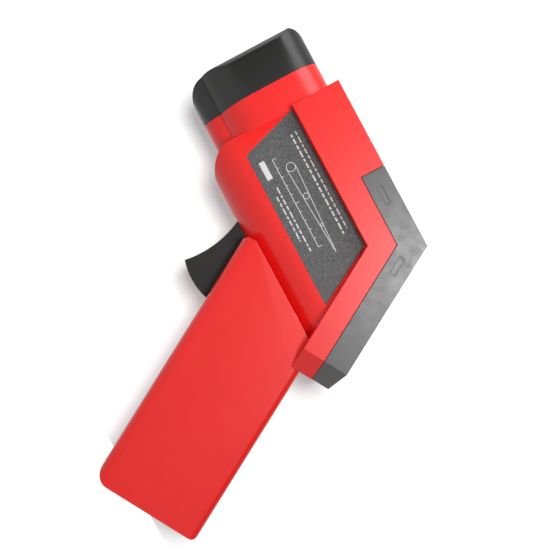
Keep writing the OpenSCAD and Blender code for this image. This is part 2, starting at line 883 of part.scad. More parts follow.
module light_box() {
  color([0.92, 0.92, 0.90])
    grip_frame()
      block_x(window_w / 2 - glass_margin, board_n + board_t, glass_n,
              window_mid_t - window_h / 2 + glass_margin + strip_d + 0.4,
              window_mid_t + window_h / 2 - glass_margin - strip_d - 0.4);
}

module contact_strips() {
  color([0.75, 0.35, 0.55])
    grip_frame()
      for (s = [-1, 1])
        translate([0, 0, window_mid_t + s * (window_h / 2 - glass_margin - strip_d / 2)])
          block_x(window_w / 2 - glass_margin - 1, board_n + board_t, glass_n, -strip_d / 2, strip_d / 2);
}

module main_board() {
  color(board_green)
    grip_frame()
      difference() {
        block_x(board_w / 2, board_n, board_n + board_t, board_low_t, board_high_t);
        for (s = [-1, 1], t = [post_low_t, post_high_t])
          rod_y(s * post_x, board_n - 1, board_n + board_t + 1, t, 0.95);
      }
}

module board_parts() {
  color(dark)
    grip_frame() {
      block(-9, -1, board_n - 1.2, board_n, window_mid_t - 4, window_mid_t + 4);
      block(2, 6, board_n - 1.4, board_n, window_mid_t + 3, window_mid_t + 8);
      block(8, 11, board_n - 2.4, board_n, window_mid_t - 2, window_mid_t + 7);
      block(-11, -2, board_n - 3.4, board_n, post_low_t - 6, post_low_t - 2.5);
      rod_y(-8, board_n - 3, board_n, window_mid_t + 8.5, 2);
    }
}

module key_switches() {
  color([0.2, 0.2, 0.2])
    grip_frame()
      for (i = [-1:1])
        translate([i * button_pitch, 0, button_t]) {
          block_x(3, board_n + board_t, board_n + board_t + key_h, -3, 3);
          rod_y(0, board_n + board_t + key_h, switch_top_n - button_travel - 0.1, 0, 1.6);
        }
}

module buzzer() {
  color(black)
    grip_frame()
      difference() {
        rod_y(5, board_n - 4, board_n, post_low_t - 2, 4.6);
        rod_y(5, board_n - 5, board_n - 3.4, post_low_t - 2, 0.8);
      }
}

module push_button(i) {
  color(dark)
    grip_frame()
      translate([i * button_pitch, 0, button_t]) {
        rod_y(0, frame_in_n - 0.5, panel_n + button_proud, 0, button_d / 2);
        rod_y(0, frame_in_n - 0.1 - button_flange_t, frame_in_n - 0.1, 0, button_d / 2 + button_flange_w);
        rod_y(0, switch_top_n, frame_in_n - 0.5, 0, 1.8);
      }
}
module button_left() { push_button(1); }
module button_centre() { push_button(0); }
module button_right() { push_button(-1); }

module board_screws() {
  color(steel)
    grip_frame()
      for (s = [-1, 1], t = [post_low_t, post_high_t]) {
        rod_y(s * post_x, board_n - 1.2, board_n, t, 1.6);
        rod_y(s * post_x, board_n - 0.5, board_n + board_t + 5, t, 0.8);
      }
}

// ---------- trigger ----------

function chord_arc(a, b, r, steps) =
  let (
    half = (b - a) / 2,
    rise = sqrt(r * r - half * half),
    mid = (a + b) / 2 + rise * [half[1], -half[0]] / norm(half),
    a0 = atan2(a[1] - mid[1], a[0] - mid[0]),
    a1 = atan2(b[1] - mid[1], b[0] - mid[0])
  )
  arc(mid, r, a0, a1, steps);

module trigger() {
  back_a = 270 + trigger_back_a;
  color(black)
    body_frame()
      difference() {
        union() {
          side_plate(trigger_w, concat(
            chord_arc(trigger_crown, trigger_tip, finger_r, 10),
            arc(pivot_side, trigger_r, 270 + trigger_lean, back_a, 10),
            [pivot_side + [4, 0.5], pivot_side + [3, trigger_top_z - pivot_side[1]]]
          ));
          rod_x(-trigger_w / 2, trigger_w / 2, pivot_side[0], pivot_side[1], hub_r);
        }
        rod_x(-trigger_w, trigger_w, pivot_side[0], pivot_side[1], trigger_pin_d / 2 + run_clear);
        // Pocket of the spring
        rotate([rake, 0, 0]) rod_y(0, spring_front, spring_n, spring_t, spring_r + 0.9);
      }
}

module trigger_pin() {
  color(steel)
    body_frame()
      rod_x(-grip_w / 2 + wall + 0.1, grip_w / 2 - wall - 0.1, pivot_side[0], pivot_side[1],
            trigger_pin_d / 2);
}

module trigger_spring() {
  color(steel)
    grip_frame()
      translate([0, spring_front + spring_end_gap, spring_t])
        coil(spring_r, spring_wire_r, spring_turns, spring_n - spring_front - 2 * spring_end_gap);
}

module trigger_switch() {
  color([0.15, 0.15, 0.16])
    grip_frame() {
      block_x(3.5, spring_n - switch_h, spring_n, switch_t - 3, switch_t + 3);
      rod_y(0, switch_tip_n, spring_n - switch_h, switch_t, 1.3);
    }
}

// ---------- battery bay ----------

module battery_door() {
  color(red)
    body_frame()
      difference() {
        intersection() {
          rotate([rake, 0, 0]) {
            union() {
              block_x(door_w / 2, grip_n, door_in_n, hinge_t, door_high_t);
              rod_x(-door_w / 2, door_w / 2, hinge_n, hinge_t, hinge_r);
            }
          }
          grip_form();
        }
        rotate([rake, 0, 0]) {
          // Room for the shells' lug
          block_x(hinge_lug_w / 2 + gap, grip_n - 1, hinge_n + 3, hinge_t - 3, hinge_t + hinge_r + 0.3);
          rod_x(-grip_w, grip_w, hinge_n, hinge_t, door_pin_d / 2 + run_clear);
          // Finger grooves
          for (i = [0:4])
            block_x(6, grip_n - 1, grip_n + 0.5, door_high_t - 5 - 2 * i, door_high_t - 4.2 - 2 * i);
        }
      }
}

module door_pin() {
  color(steel)
    grip_frame()
      rod_x(-door_w / 2 - door_pin_seat, door_w / 2 + door_pin_seat, hinge_n, hinge_t, door_pin_d / 2);
}

module battery_tray() {
  color(black)
    grip_frame() {
      block_x(tray_w / 2, tray_n, tray_n + tray_t, tray_low_t, tray_high_t);
      block_x(tray_w / 2, door_in_n + 1.8, tray_n + eps, tray_high_t - tray_roof_t, tray_high_t);
      block_x(tray_w / 2, door_in_n + 4, tray_n + eps, tray_low_t, tray_low_t + tray_floor_t);
      block_x(0.2, door_in_n + 4, tray_n + eps, tray_low_t, tray_high_t);
    }
}

module cell(s) {
  color([0.35, 0.37, 0.40])
    grip_frame()
      translate([s * cell_pitch / 2, cell_n, cell_low_t]) {
        cylinder(h = cell_len - cell_cap_len, r = cell_d / 2, $fn = round_fn);
        translate([0, 0, cell_len - cell_cap_len - eps])
          cylinder(h = cell_cap_len, r = 1.9, $fn = round_fn);
      }
}
module cell_left() { cell(1); }
module cell_right() { cell(-1); }

module cell_springs() {
  low = tray_low_t + tray_floor_t + plate_t;
  color(steel)
    grip_frame()
      for (s = [-1, 1])
        translate([s * cell_pitch / 2, cell_n, low + spring_end_gap])
          rotate([90, 0, 0])
            coil(cell_spring_r, cell_spring_wire_r, cell_spring_turns,
                 cell_low_t - low - 2 * spring_end_gap);
}

module cell_plates() {
  low = tray_low_t + tray_floor_t;
  high = tray_high_t - tray_roof_t;
  color(brass)
    grip_frame()
      for (s = [-1, 1])
        translate([s * cell_pitch / 2, cell_n, 0]) {
          block_x(4, -4, 3.6, low, low + plate_t);
          block_x(4, -4, 3.6, high - plate_t, high);
        }
}

// ---------- wires and screws ----------

module sensor_wires() {
  color([0.2, 0.2, 0.7])
    body_frame()
      for (i = [-1:1])
        wire([
          [i * 1.4, sensor_at + 0.3 + sensor_board_t, lens_z + 6],
          [i * 1.4, sensor_at + 5, lens_z + 6.4],
          [i * 1.4, sensor_at + 14, lens_z + 3],
          [i * 1.4, sensor_at + 24, lens_z - 2],
          [i * 1.4 + 4, sensor_at + 30, lens_z - 6],
          [i * 1.4 + 4, to_side(board_n, window_mid_t + 5.5)[0] - 2.6,
           to_side(board_n, window_mid_t + 5.5)[1] - 1.5]
        ], 0.5);
}

module laser_wires() {
  color([0.8, 0.1, 0.1])
    body_frame()
      for (s = [-1, 1])
        wire([
          [s * 1.2, laser_front + laser_len + 2.1, laser_z],
          [s * 1.2, laser_front + laser_len + 7, laser_z + 1],
          [s * 1.2, grip_at - 8, laser_z + 1.5],
          [s * 1.2 - 5, grip_at + 8, laser_z + 1],
          [s * 1.2 - 5, to_side(board_n, window_mid_t)[0] - 2.3, to_side(board_n, window_mid_t)[1] - 1.3]
        ], 0.5);
}

module battery_wires() {
  color([0.1, 0.1, 0.1])
    grip_frame()
      for (s = [-1, 1])
        wire([
          [s * 6, tray_n + tray_t + 0.3, tray_high_t - 4],
          [s * 6, tray_n + tray_t + 4, tray_high_t - 1],
          [s * 4 - 2, board_n - 9, tray_high_t + 8],
          [s * 2 - 5, board_n - 8, board_low_t],
          [s * 2 - 5, board_n - 6.4, board_low_t + 4],
          [s * 2 - 5, board_n - 3.8, post_low_t - 4.2]
        ], 0.5);
}

module shell_screws() {
  color(steel)
    body_frame()
      for (p = screw_points) {
        boss(p, -screw_seat - screw_head_t, -screw_seat, screw_head_r);
        boss(p, -screw_seat - 0.5, screw_len - screw_seat, screw_r);
      }
}

left_shell();
right_shell();
nose_cap();
display_frame();
display_window();
lcd_glass();
light_box();
contact_strips();
main_board();
board_parts();
key_switches();
buzzer();
button_left();
button_centre();
button_right();
trigger();
trigger_pin();
trigger_spring();
trigger_switch();
battery_door();
door_pin();
battery_tray();
cell_left();
cell_right();
cell_springs();
cell_plates();
lens_tube();
ir_lens();
lens_ring();
thermopile();
sensor_board();
laser_module();
laser_window();
laser_clamp();
sensor_wires();
laser_wires();
battery_wires();
left_label();
right_label();
shell_screws();
board_screws();
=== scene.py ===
"""Looks of a hand-held infrared thermometer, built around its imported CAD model."""
import math

import bmesh
import bpy
from mathutils import Matrix, Vector


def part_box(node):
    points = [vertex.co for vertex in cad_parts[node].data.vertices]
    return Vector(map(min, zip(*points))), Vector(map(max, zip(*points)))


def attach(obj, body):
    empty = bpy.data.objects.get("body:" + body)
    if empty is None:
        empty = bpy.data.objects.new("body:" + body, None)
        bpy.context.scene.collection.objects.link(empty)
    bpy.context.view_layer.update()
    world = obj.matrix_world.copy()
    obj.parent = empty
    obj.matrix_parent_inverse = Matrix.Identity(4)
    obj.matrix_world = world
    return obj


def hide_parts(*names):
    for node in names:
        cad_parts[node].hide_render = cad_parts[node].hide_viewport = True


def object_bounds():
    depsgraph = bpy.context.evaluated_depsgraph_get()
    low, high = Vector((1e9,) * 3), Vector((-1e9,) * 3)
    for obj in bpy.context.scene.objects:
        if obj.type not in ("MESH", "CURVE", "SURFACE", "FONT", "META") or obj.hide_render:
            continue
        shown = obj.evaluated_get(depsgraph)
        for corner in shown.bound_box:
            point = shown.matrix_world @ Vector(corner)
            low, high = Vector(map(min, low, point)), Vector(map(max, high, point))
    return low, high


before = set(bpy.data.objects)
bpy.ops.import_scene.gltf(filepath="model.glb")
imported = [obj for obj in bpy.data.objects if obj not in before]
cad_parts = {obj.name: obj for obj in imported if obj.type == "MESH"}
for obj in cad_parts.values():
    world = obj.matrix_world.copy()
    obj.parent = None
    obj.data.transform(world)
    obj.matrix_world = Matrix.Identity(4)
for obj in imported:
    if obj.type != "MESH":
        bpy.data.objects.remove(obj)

cad_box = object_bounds()

# ---------------------------------------------------------------- places
MM = 0.001
RAKE = math.radians(30)      # lean of the grip and of the display
BARREL_TOP = 45.4            # barrel's height over its underside, mm
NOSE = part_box("nose_cap")
ORIGIN_Y = NOSE[0].y
ORIGIN_Z = NOSE[1].z - BARREL_TOP * MM
MIDDLE = (cad_box[0] + cad_box[1]) / 2


def at_barrel(x, s, z):
    """A point given in mm: across, back from the nose, up from the barrel's underside."""
    return Vector((x * MM, ORIGIN_Y + s * MM, ORIGIN_Z + z * MM))


def at_grip(x, n, t):
    """A point given in mm: across, out through the display, up along the grip."""
    return at_barrel(x, n * math.cos(RAKE) - t * math.sin(RAKE), n * math.sin(RAKE) + t * math.cos(RAKE))


def grip_n(point):
    """How far out through the display a world point lies, in mm."""
    s = (point.y - ORIGIN_Y) / MM
    z = (point.z - ORIGIN_Z) / MM
    return s * math.cos(RAKE) + z * math.sin(RAKE)


# ---------------------------------------------------------------- camera
CAMERA_ROLL = math.radians(28.1)
CAMERA_LENS = 61.0
CAMERA_OFFSET = Vector((0.300, 0.00275, 0.0162))     # from the middle of the object, m


def add_camera():
    """The photograph looks straight at the left side, with the object turned in the picture."""
    right = Vector((0, math.sin(CAMERA_ROLL), math.cos(CAMERA_ROLL)))
    up = Vector((0, -math.cos(CAMERA_ROLL), math.sin(CAMERA_ROLL)))
    back = Vector((1, 0, 0))
    data = bpy.data.cameras.new("camera")
    data.lens = CAMERA_LENS
    data.clip_start = 0.01
    camera = bpy.data.objects.new("camera", data)
    turn = Matrix((right, up, back)).transposed().to_4x4()
    camera.matrix_world = Matrix.Translation(MIDDLE + CAMERA_OFFSET) @ turn
    bpy.context.scene.collection.objects.link(camera)
    bpy.context.scene.camera = camera


add_camera()


# ---------------------------------------------------------------- node helpers
class Shader:
    """A material under construction, with short calls for the nodes used here."""

    def __init__(self, name):
        self.material = bpy.data.materials.new(name)
        self.material.use_nodes = True
        self.tree = self.material.node_tree
        self.tree.nodes.clear()
        self.place = self.add("ShaderNodeTexCoord").outputs["Object"]
        self.out = self.add("ShaderNodeOutputMaterial")

    def add(self, kind, **inputs):
        node = self.tree.nodes.new(kind)
        for key, value in inputs.items():
            self.put(node, key.replace("_", " "), value)
        return node

    def put(self, node, socket, value):
        target = node.inputs[socket]
        if isinstance(value, bpy.types.NodeSocket):
            self.tree.links.new(value, target)
        else:
            target.default_value = value

    def noise(self, size, detail=2.0, rough=0.5):
        """Noise whose features are about size mm across."""
        node = self.add("ShaderNodeTexNoise", Vector=self.place, Scale=1 / (size * MM),
                        Detail=detail, Roughness=rough)
        return node.outputs["Fac"]

    def ramp(self, value, low, high, start=0.0, end=1.0):
        """value mapped from start..end onto low..high."""
        node = self.add("ShaderNodeMapRange", Value=value)
        node.inputs["From Min"].default_value = start
        node.inputs["From Max"].default_value = end
        node.inputs["To Min"].default_value = low
        node.inputs["To Max"].default_value = high
        return node.outputs["Result"]

    def mix(self, factor, a, b):
        node = self.add("ShaderNodeMix")
        node.data_type = "RGBA"
        for socket, value in ((0, factor), (6, a), (7, b)):
            if isinstance(value, bpy.types.NodeSocket):
                self.tree.links.new(value, node.inputs[socket])
            else:
                node.inputs[socket].default_value = value
        return node.outputs[2]

    def math(self, kind, a, b=0.0):
        node = self.add("ShaderNodeMath")
        node.operation = kind
        for socket, value in ((0, a), (1, b)):
            if isinstance(value, bpy.types.NodeSocket):
                self.tree.links.new(value, node.inputs[socket])
            else:
                node.inputs[socket].default_value = value
        return node.outputs[0]

    def rounded(self, radius):
        """A normal that rounds every edge by radius mm."""
        node = self.add("ShaderNodeBevel", Radius=radius * MM)
        node.samples = 6
        return node.outputs["Normal"]

    def edge(self, radius):
        """About 0 on flat faces and up to 1 within radius mm of an edge."""
        normal = self.add("ShaderNodeNewGeometry").outputs["Normal"]
        dot = self.add("ShaderNodeVectorMath")
        dot.operation = "DOT_PRODUCT"
        self.tree.links.new(self.rounded(radius), dot.inputs[0])
        self.tree.links.new(normal, dot.inputs[1])
        return self.ramp(dot.outputs["Value"], 1.0, 0.0, 0.75, 1.0)

    def bump(self, height, strength, depth, normal=None):
        node = self.add("ShaderNodeBump", Height=height, Strength=strength, Distance=depth * MM)
        if normal is not None:
            self.tree.links.new(normal, node.inputs["Normal"])
        return node.outputs["Normal"]

    def surface(self, **inputs):
        shader = self.add("ShaderNodeBsdfPrincipled", **inputs)
        self.tree.links.new(shader.outputs[0], self.out.inputs["Surface"])
        return self.material


def grey(v):
    return (v, v, v, 1.0)


def scaled(colour, k):
    return (colour[0] * k, colour[1] * k, colour[2] * k, 1.0)


# ---------------------------------------------------------------- materials
def moulded(name, colour, roughness, grain=0.28, relief=0.35, spec=0.5, edge_round=0.3, painted_edge_highlight=1.25):
    """Injection-moulded plastic: a fine spark-eroded grain, faint flow marks, smoother edges and a painted
    highlight along the edges.
    """
    m = Shader(name)
    fine = m.noise(grain, 3.0, 0.6)
    flow = m.noise(14.0, 3.0, 0.55)
    edge = m.edge(edge_round)
    body = m.mix(flow, scaled(colour, 0.93), scaled(colour, 1.06))
    body = m.mix(m.ramp(fine, 0.0, 0.35, 0.35, 0.75), body, scaled(colour, 0.84))
    # Painted highlight: the colour is lightened near every edge; the lower roughness there below is real
    # polish.
    body = m.mix(m.math("MULTIPLY", edge, 0.45), body, scaled(colour, painted_edge_highlight))
    rough = m.math("ADD", m.ramp(fine, roughness - 0.05, roughness + 0.07, 0.3, 0.7),
                   m.math("MULTIPLY", edge, -0.06))
    normal = m.bump(fine, relief, 0.02, m.rounded(edge_round))
    return m.surface(Base_Color=body, Roughness=rough, Normal=normal, Specular_IOR_Level=spec)


def frame_plastic():
    """Semi-gloss black of the display frame, with the soft swirl of a polished tool."""
    m = Shader("frame_black")
    fine = m.noise(0.22, 2.0, 0.5)
    cloud = m.noise(3.2, 4.0, 0.6)
    edge = m.edge(0.3)
    body = m.mix(cloud, (0.020, 0.019, 0.018, 1), (0.032, 0.031, 0.030, 1))
    # Painted highlight: the frame's edges are lightened towards grey.
    body = m.mix(m.math("MULTIPLY", edge, 0.5), body, grey(0.07))
    rough = m.math("ADD", m.ramp(cloud, 0.30, 0.40, 0.3, 0.7), m.ramp(fine, -0.03, 0.03, 0.3, 0.7))
    normal = m.bump(fine, 0.3, 0.012, m.rounded(0.25))
    return m.surface(Base_Color=body, Roughness=rough, Normal=normal, Specular_IOR_Level=0.7)


def label_film():
    """Speckled dark polycarbonate film: light and dark flecks on charcoal."""
    m = Shader("label_film")
    cells = m.add("ShaderNodeTexVoronoi", Vector=m.place, Scale=1 / (0.30 * MM))
    fleck = m.add("ShaderNodeSeparateColor", Color=cells.outputs["Color"])
    speckle = m.ramp(fleck.outputs[0], 0.0, 1.0, 0.0, 1.0)
    fine = m.noise(0.3, 3.0, 0.7)
    tone = m.mix(speckle, grey(0.020), grey(0.13))
    tone = m.mix(m.ramp(fine, 0.0, 0.8, 0.45, 0.7), tone, grey(0.075))
    normal = m.bump(fine, 0.35, 0.02)
    return m.surface(Base_Color=tone, Roughness=m.ramp(fine, 0.5, 0.66), Normal=normal,
                     Specular_IOR_Level=0.4)


def label_ink():
    """Pale screen-printing ink, a little thin in places."""
    m = Shader("label_ink")
    wear = m.noise(0.5, 3.0, 0.6)
    tone = m.mix(m.ramp(wear, 0.0, 0.5, 0.5, 0.75), grey(0.62), grey(0.40))
    return m.surface(Base_Color=tone, Roughness=m.ramp(wear, 0.45, 0.6), Normal=m.bump(wear, 0.2, 0.01))


def rubber_key():
    """Matt silicone rubber with a dusty, slightly pitted skin."""
    m = Shader("key_rubber")
    pits = m.noise(0.35, 4.0, 0.65)
    dust = m.noise(2.5, 2.0)
    tone = m.mix(dust, grey(0.030), grey(0.045))
    # Painted highlight: the key's edges are lightened towards grey.
    tone = m.mix(m.math("MULTIPLY", m.edge(0.4), 0.5), tone, grey(0.085))
    return m.surface(Base_Color=tone, Roughness=m.ramp(pits, 0.62, 0.8),
                     Normal=m.bump(pits, 0.4, 0.02, m.rounded(0.4)), Sheen_Weight=0.12, Sheen_Roughness=0.5)


def key_ink():
    m = Shader("key_ink")
    wear = m.noise(0.4, 2.0)
    return m.surface(Base_Color=m.mix(wear, grey(0.62), grey(0.8)), Roughness=m.ramp(wear, 0.5, 0.65))


def metal(name, colour, roughness, streak=0.25):
    """Turned or plated metal: fine tool marks and a slight tarnish."""
    m = Shader(name)
    marks = m.noise(0.12, 3.0, 0.6)
    stain = m.noise(3.0, 3.0)
    tone = m.mix(stain, scaled(colour, 0.82), scaled(colour, 1.05))
    return m.surface(Base_Color=tone, Metallic=1.0,
                     Roughness=m.ramp(marks, roughness - 0.08, roughness + 0.1),
                     Normal=m.bump(marks, streak, 0.006, m.rounded(0.12)))


def window_acrylic():
    """Clear acrylic with a smoky tint: the display shows through it."""
    m = Shader("window_acrylic")
    haze = m.noise(6.0, 3.0)
    return m.surface(Base_Color=(0.80, 0.82, 0.80, 1), Roughness=m.ramp(haze, 0.02, 0.06),
                     Transmission_Weight=1.0, IOR=1.49, Normal=m.bump(haze, 0.05, 0.01, m.rounded(0.15)))


def lcd_cell():
    """Reflective grey-green display cell with the fine pattern of its electrodes."""
    m = Shader("lcd_cell")
    film = m.noise(5.0, 2.0)
    fine = m.noise(0.15, 1.0)
    tone = m.mix(film, (0.40, 0.45, 0.36, 1), (0.45, 0.50, 0.41, 1))
    tone = m.mix(m.ramp(fine, 0.0, 0.2, 0.4, 0.7), tone, (0.33, 0.38, 0.30, 1))
    return m.surface(Base_Color=tone, Roughness=m.ramp(fine, 0.25, 0.35), Specular_IOR_Level=0.5)


def lcd_ink(name, tone_low, tone_high):
    """The dark liquid-crystal segments."""
    m = Shader(name)
    film = m.noise(1.2, 2.0)
    return m.surface(Base_Color=m.mix(film, tone_low, tone_high), Roughness=m.ramp(film, 0.28, 0.36))


def milky(name, colour, roughness):
    """Milky polyethylene or diffuser: light sinks into it a little."""
    m = Shader(name)
    cloud = m.noise(1.6, 3.0)
    tone = m.mix(cloud, scaled(colour, 0.92), scaled(colour, 1.0))
    return m.surface(Base_Color=tone, Roughness=m.ramp(cloud, roughness - 0.05, roughness + 0.05),
                     Subsurface_Weight=0.25, Subsurface_Scale=0.001, Normal=m.bump(cloud, 0.1, 0.02))


def lens_sheet():
    """Milky infrared lens pressed with fine concentric grooves."""
    m = Shader("lens_sheet")
    low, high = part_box("ir_lens")
    from_axis = m.add("ShaderNodeVectorMath")
    from_axis.operation = "SUBTRACT"
    m.tree.links.new(m.place, from_axis.inputs[0])
    from_axis.inputs[1].default_value = (low + high) / 2
    flat = m.add("ShaderNodeVectorMath")
    flat.operation = "MULTIPLY"
    m.tree.links.new(from_axis.outputs[0], flat.inputs[0])
    flat.inputs[1].default_value = (1.0, 0.0, 1.0)
    radius = m.add("ShaderNodeVectorMath")
    radius.operation = "LENGTH"
    m.tree.links.new(flat.outputs[0], radius.inputs[0])
    groove = m.math("FRACT", m.math("MULTIPLY", radius.outputs["Value"], 1 / (0.55 * MM)))
    cloud = m.noise(1.6, 3.0)
    # Painted shade: the colour darkens towards the step of each groove.
    tone = m.mix(m.ramp(groove, 0.0, 0.6, 0.75, 1.0), m.mix(cloud, grey(0.70), grey(0.78)), grey(0.50))
    return m.surface(Base_Color=tone, Roughness=m.ramp(cloud, 0.28, 0.4), Subsurface_Weight=0.2,
                     Subsurface_Scale=0.001, Normal=m.bump(groove, 0.5, 0.06))


def red_acrylic():
    m = Shader("red_acrylic")
    haze = m.noise(1.5, 2.0)
    tone = m.mix(haze, (0.42, 0.02, 0.02, 1), (0.55, 0.03, 0.03, 1))
    return m.surface(Base_Color=tone, Roughness=m.ramp(haze, 0.06, 0.14), Transmission_Weight=0.55, IOR=1.49)


def solder_mask():
    """Green board lacquer over copper tracks."""
    m = Shader("solder_mask")
    tracks = m.add("ShaderNodeTexBrick", Vector=m.place, Scale=1 / (2.2 * MM))
    weave = m.noise(0.5, 2.0)
    tone = m.mix(tracks.outputs["Fac"], (0.015, 0.13, 0.05, 1), (0.03, 0.22, 0.09, 1))
    return m.surface(Base_Color=tone, Roughness=m.ramp(weave, 0.3, 0.42), Normal=m.bump(weave, 0.2, 0.01))


def cell_sleeve():
    """Glossy shrink sleeve of a plain dry cell."""
    m = Shader("cell_sleeve")
    wrap = m.noise(4.0, 3.0)
    tone = m.mix(wrap, (0.055, 0.065, 0.085, 1), (0.085, 0.095, 0.12, 1))
    return m.surface(Base_Color=tone, Roughness=m.ramp(wrap, 0.25, 0.4), Coat_Weight=0.4,
                     Normal=m.bump(wrap, 0.1, 0.03, m.rounded(0.3)))


def wire_skin():
    """PVC insulation, coloured in bands along the looms."""
    m = Shader("wire_skin")
    kind = m.noise(7.0, 1.0)
    dull = m.noise(0.4, 2.0)
    tone = m.mix(m.ramp(kind, 0.0, 1.0, 0.45, 0.55), (0.05, 0.05, 0.06, 1), (0.35, 0.03, 0.02, 1))
    return m.surface(Base_Color=tone, Roughness=m.ramp(dull, 0.4, 0.55), Normal=m.bump(dull, 0.15, 0.01))


RED = (0.77, 0.010, 0.008)
BLACK = (0.006, 0.0055, 0.005)


def make_materials():
    """One material for each slot of the record."""
    return {
        "shell_red": moulded("shell_red", RED, 0.34, spec=0.42),
        "door_red": moulded("door_red", scaled(RED, 0.97), 0.36, spec=0.42),
        "cap_black": moulded("cap_black", BLACK, 0.36, grain=0.25, spec=0.36, painted_edge_highlight=2.2),
        "frame_black": frame_plastic(),
        "trigger_black": moulded("trigger_black", (0.009, 0.009, 0.007), 0.5, grain=0.3, spec=0.25,
                                 painted_edge_highlight=2.0),
        "key_grey": rubber_key(),
        "window_clear": window_acrylic(),
        "lcd_grey": lcd_cell(),
        "light_white": milky("light_white", (0.85, 0.85, 0.82), 0.5),
        "strip_pink": moulded("strip_pink", (0.55, 0.18, 0.32), 0.6, edge_round=0.1),
        "board_green": solder_mask(),
        "chip_black": moulded("chip_black", (0.02, 0.02, 0.021), 0.55, grain=0.2, edge_round=0.1),
        "steel_bright": metal("steel_bright", (0.62, 0.62, 0.64), 0.32),
        "contact_brass": metal("contact_brass", (0.72, 0.56, 0.28), 0.35),
        "laser_brass": metal("laser_brass", (0.72, 0.52, 0.22), 0.3),
        "cell_steel": cell_sleeve(),
        "tray_black": moulded("tray_black", (0.018, 0.018, 0.018), 0.5, edge_round=0.15),
        "lens_white": lens_sheet(),
        "laser_red_window": red_acrylic(),
        "wire_skin": wire_skin(),
        "label_grey": label_film(),
        "ink": label_ink(),
        "key_ink": key_ink(),
        "segment": lcd_ink("lcd_segment", (0.020, 0.024, 0.022, 1), (0.035, 0.040, 0.036, 1)),
        "ghost": lcd_ink("lcd_ghost", (0.33, 0.375, 0.30, 1), (0.36, 0.405, 0.325, 1)),
    }


def dress_nodes(materials):
    """Gives every CAD node the material of its slot."""
    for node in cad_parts.values():
        slot = node.data.materials[0].name.split(".")[0]
        node.data.materials[0] = materials[slot]


SHARP_FROM = math.radians(24)     # edges that turn by more than this stay sharp


def smooth_tree():
    """A modifier's tree: joins the faces of the CAD mesh and smooths it except over sharp edges."""
    tree = bpy.data.node_groups.new("smooth_by_angle", "GeometryNodeTree")
    tree.interface.new_socket("Geometry", in_out="INPUT", socket_type="NodeSocketGeometry")
    tree.interface.new_socket("Geometry", in_out="OUTPUT", socket_type="NodeSocketGeometry")
    start = tree.nodes.new("NodeGroupInput")
    weld = tree.nodes.new("GeometryNodeMergeByDistance")
    weld.inputs["Distance"].default_value = 1e-6
    bare = tree.nodes.new("GeometryNodeSetMeshNormal")
    bare.mode = "SHARPNESS"
    bare.inputs["Remove Custom"].default_value = True
    bare.inputs["Face Sharpness"].default_value = False
    angle = tree.nodes.new("GeometryNodeInputMeshEdgeAngle")
    sharp = tree.nodes.new("FunctionNodeCompare")
    sharp.data_type = "FLOAT"
    sharp.operation = "GREATER_THAN"
    sharp.inputs["B"].default_value = SHARP_FROM
    end = tree.nodes.new("NodeGroupOutput")
    link = tree.links.new
    link(start.outputs[0], weld.inputs["Geometry"])
    link(weld.outputs[0], bare.inputs["Mesh"])
    link(angle.outputs["Unsigned Angle"], sharp.inputs["A"])
    link(sharp.outputs[0], bare.inputs["Edge Sharpness"])
    link(bare.outputs[0], end.inputs[0])
    return tree


SMOOTH = smooth_tree()


def smooth_piece(piece):
    piece.modifiers.new("smooth", "NODES").node_group = SMOOTH


def smooth_nodes():
    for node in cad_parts.values():
        smooth_piece(node)


# ---------------------------------------------------------------- pieces
def new_piece(name, bm, material, body):
    """A piece from a bmesh, riding on a body."""
    bmesh.ops.recalc_face_normals(bm, faces=bm.faces)
    mesh = bpy.data.meshes.new(name)
    bm.to_mesh(mesh)
    bm.free()
    mesh.materials.append(material)
    piece = bpy.data.objects.new(name, mesh)
    bpy.context.scene.collection.objects.link(piece)
    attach(piece, body)
    return piece


def add_prism(bm, outline, lift, place):
    """A thin closed plate over an outline of (u, v) points; place(u, v, w) gives the world point."""
    low = [bm.verts.new(place(u, v, 0)) for u, v in outline]
    high = [bm.verts.new(place(u, v, lift)) for u, v in outline]
    bm.faces.new(low[::-1])
    bm.faces.new(high)
    for i in range(len(outline)):
        j = (i + 1) % len(outline)
        bm.faces.new((low[i], low[j], high[j], high[i]))


def bar_outline(u, v, length, height, slant=0.0):
    """A plain bar whose ends may lean."""
    return [(u, v), (u + length, v), (u + length + slant, v + height), (u + slant, v + height)]


def line_outline(a, b, width):
    """A straight stroke from a to b."""
    a, b = Vector(a), Vector(b)
    side = (b - a).normalized().orthogonal() * width / 2
    return [a + side, b + side, b - side, a - side]


def ring_outlines(mid, radius, width, steps=24):
    """A ring as a loop of short quads."""
    quads = []
    for i in range(steps):
        a0, a1 = (2 * math.pi * k / steps for k in (i, i + 1))
        quads.append([
            (mid[0] + r * math.cos(a), mid[1] + r * math.sin(a))
            for r, a in ((radius, a0), (radius, a1), (radius - width, a1), (radius - width, a0))
        ])
    return quads


# ---------------------------------------------------------------- label print
INK = 0.03                    # thickness of the print, mm


def dash_row(s, z, end, height, gaps):
    """A row of plain dashes of uneven length from s to end, standing for the print of the real label."""
    outlines = []
    i = 0
    while s < end:
        length = (1.3, 2.2, 0.9, 1.7)[(i + gaps) % 4]
        outlines.append(bar_outline(s, z, min(length, end - s), height))
        s += length + DASH_GAP
        i += 1
    return outlines


DASH_GAP = 0.55               # between two dashes of a row, mm
FINE_DASH = 0.42              # height of the finer dashes, mm
BOLD_DASH = 0.55              # height of the bolder row, mm


